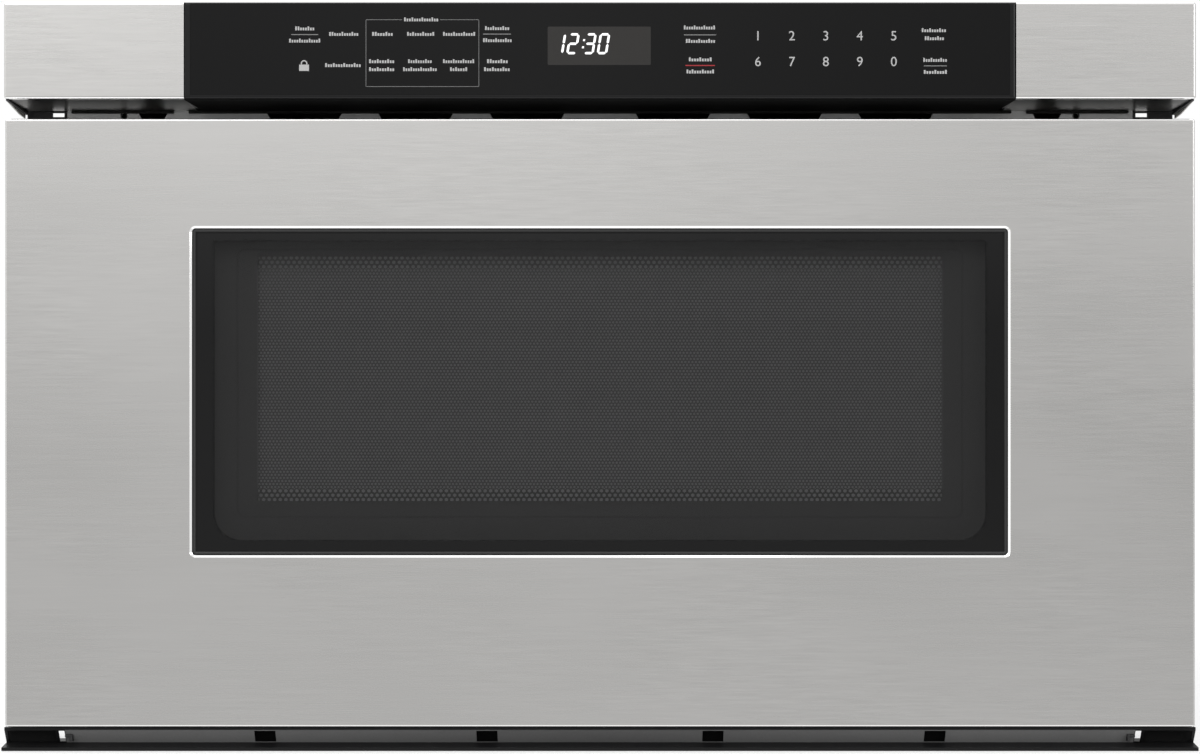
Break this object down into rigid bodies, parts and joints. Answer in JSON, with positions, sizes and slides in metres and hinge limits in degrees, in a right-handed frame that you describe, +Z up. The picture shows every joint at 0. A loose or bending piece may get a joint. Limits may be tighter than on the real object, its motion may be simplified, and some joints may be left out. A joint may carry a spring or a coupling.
{
  "type": "microwave drawer",
  "caption": "Built-in microwave oven drawer with a stainless front, dark window, touch control strip, telescopic slides and rack and pinion drive.",
  "frame": {"origin": "middle of the width and depth, at the height of the cabinet floor that the oven stands on", "axes": "+X to the right as the user sees the front, +Y back into the cabinet, +Z up; the drawer opens towards -Y"},
  "size_m": [0.6086, 0.594, 0.3808],
  "materials": {
    "stainless": "horizontal brushed grain, polished edges",
    "zinc_sheet": "galvanised sheet, satin",
    "black_steel": "satin black",
    "cavity_enamel": "semi-gloss grey enamel",
    "dark_steel": "oiled dark steel",
    "slide_steel": "bright zinc",
    "zinc_screw": "bright zinc",
    "fin_aluminium": "plain",
    "copper_winding": "varnished copper wire",
    "black_plastic": "satin",
    "gloss_black": "gloss",
    "white_plastic": "satin natural nylon",
    "circuit_board": "solder mask",
    "black_glass": "gloss, back-printed black",
    "smoked_lens": "smoked",
    "tinted_glass": "tinted, gloss",
    "clear_glass": "clear",
    "ceramic_glass": "opal glass ceramic"
  },
  "bodies": {
    "chassis": {"base_plate": "zinc_sheet", "top_cover": "zinc_sheet", "side_panels": "zinc_sheet", "rear_panel": "zinc_sheet", "front_frame": "zinc_sheet", "mounting_wings": "black_steel", "cavity_floor": "cavity_enamel", "cavity_roof": "cavity_enamel", "cavity_walls": "cavity_enamel", "waveguide": "zinc_sheet", "stirrer_cover": "white_plastic", "stirrer_motor": "zinc_sheet", "magnetron": "fin_aluminium", "transformer_core": "dark_steel", "transformer_windings": "copper_winding", "capacitor": "fin_aluminium", "fan_housing": "black_plastic", "cord_gland": "black_plastic", "noise_filter_board": "circuit_board", "relay_board": "circuit_board", "lamp_socket": "white_plastic", "lamp_bulb": "clear_glass", "thermal_cutouts": "white_plastic", "exhaust_duct": "black_plastic", "panel_trim_left": "stainless", "panel_trim_right": "stainless", "control_back_plate": "zinc_sheet", "control_housing": "gloss_black", "control_glass": "black_glass", "display_lens": "smoked_lens", "control_board": "circuit_board", "bottom_trim": "black_steel", "chassis_screws": "zinc_screw", "rail_outer_members": "slide_steel", "drive_motor": "dark_steel", "interlock_switches": "black_plastic", "latch_brackets": "zinc_sheet"},
    "drawer": {"door_skin": "stainless", "window_glass": "tinted_glass", "door_frame": "black_steel", "perforated_screen": "black_steel", "inner_glass": "clear_glass", "choke_cover": "black_plastic", "tub_floor": "cavity_enamel", "tub_walls": "cavity_enamel", "glass_tray": "ceramic_glass", "tub_glides": "white_plastic", "tub_screws": "zinc_screw", "carriage": "zinc_sheet", "drawer_rack": "white_plastic", "latch_hooks": "dark_steel", "rail_inner_members": "slide_steel"},
    "rail_middle_left": {"rail_middle_left": "slide_steel"},
    "rail_middle_right": {"rail_middle_right": "slide_steel"},
    "ball_cages_outer": {"ball_cages_outer": "slide_steel"},
    "ball_cages_inner": {"ball_cages_inner": "slide_steel"},
    "drive_pinion": {"drive_pinion": "white_plastic"},
    "stirrer": {"stirrer": "white_plastic"},
    "fan_wheel": {"fan_wheel": "black_plastic"},
    "switch_plungers": {"switch_plungers": "white_plastic"}
  },
  "joints": [
    {"name": "drawer_slide", "type": "slide", "parent": "chassis", "child": "drawer", "axis": [0, -1, 0], "range_m": [0, 0.38]},
    {"name": "rail_middle_left_slide", "type": "slide", "parent": "chassis", "child": "rail_middle_left", "axis": [0, -1, 0], "range_m": [0, 0.19]},
    {"name": "rail_middle_right_slide", "type": "slide", "parent": "chassis", "child": "rail_middle_right", "axis": [0, -1, 0], "range_m": [0, 0.19]},
    {"name": "ball_cages_outer_slide", "type": "slide", "parent": "chassis", "child": "ball_cages_outer", "axis": [0, -1, 0], "range_m": [0, 0.095]},
    {"name": "ball_cages_inner_slide", "type": "slide", "parent": "chassis", "child": "ball_cages_inner", "axis": [0, -1, 0], "range_m": [0, 0.285]},
    {"name": "drive_pinion_spin", "type": "hinge", "parent": "chassis", "child": "drive_pinion", "pos_m": [0.082, -0.215, 0.029], "axis": [0, 0, 1], "range_deg": [0, 1620]},
    {"name": "stirrer_spin", "type": "hinge", "parent": "chassis", "child": "stirrer", "pos_m": [0, -0.04, 0.28], "axis": [0, 0, 1], "continuous": true},
    {"name": "fan_spin", "type": "hinge", "parent": "chassis", "child": "fan_wheel", "pos_m": [0.16, 0.25, 0.0612], "axis": [0, 1, 0], "continuous": true},
    {"name": "switch_plunger_slide", "type": "slide", "parent": "chassis", "child": "switch_plungers", "axis": [0, -1, 0], "range_m": [0, 0.0012]}
  ],
  "couplings": [
    {"joint": "rail_middle_left_slide", "follows": "drawer_slide", "ratio": 0.5},
    {"joint": "rail_middle_right_slide", "follows": "drawer_slide", "ratio": 0.5},
    {"joint": "ball_cages_outer_slide", "follows": "drawer_slide", "ratio": 0.25},
    {"joint": "ball_cages_inner_slide", "follows": "drawer_slide", "ratio": 0.75},
    {"joint": "drive_pinion_spin", "follows": "drawer_slide", "rad_per_m": 74.074},
    {"joint": "switch_plunger_slide", "follows": "drawer_slide", "ratio": 0.0031579}
  ]
}
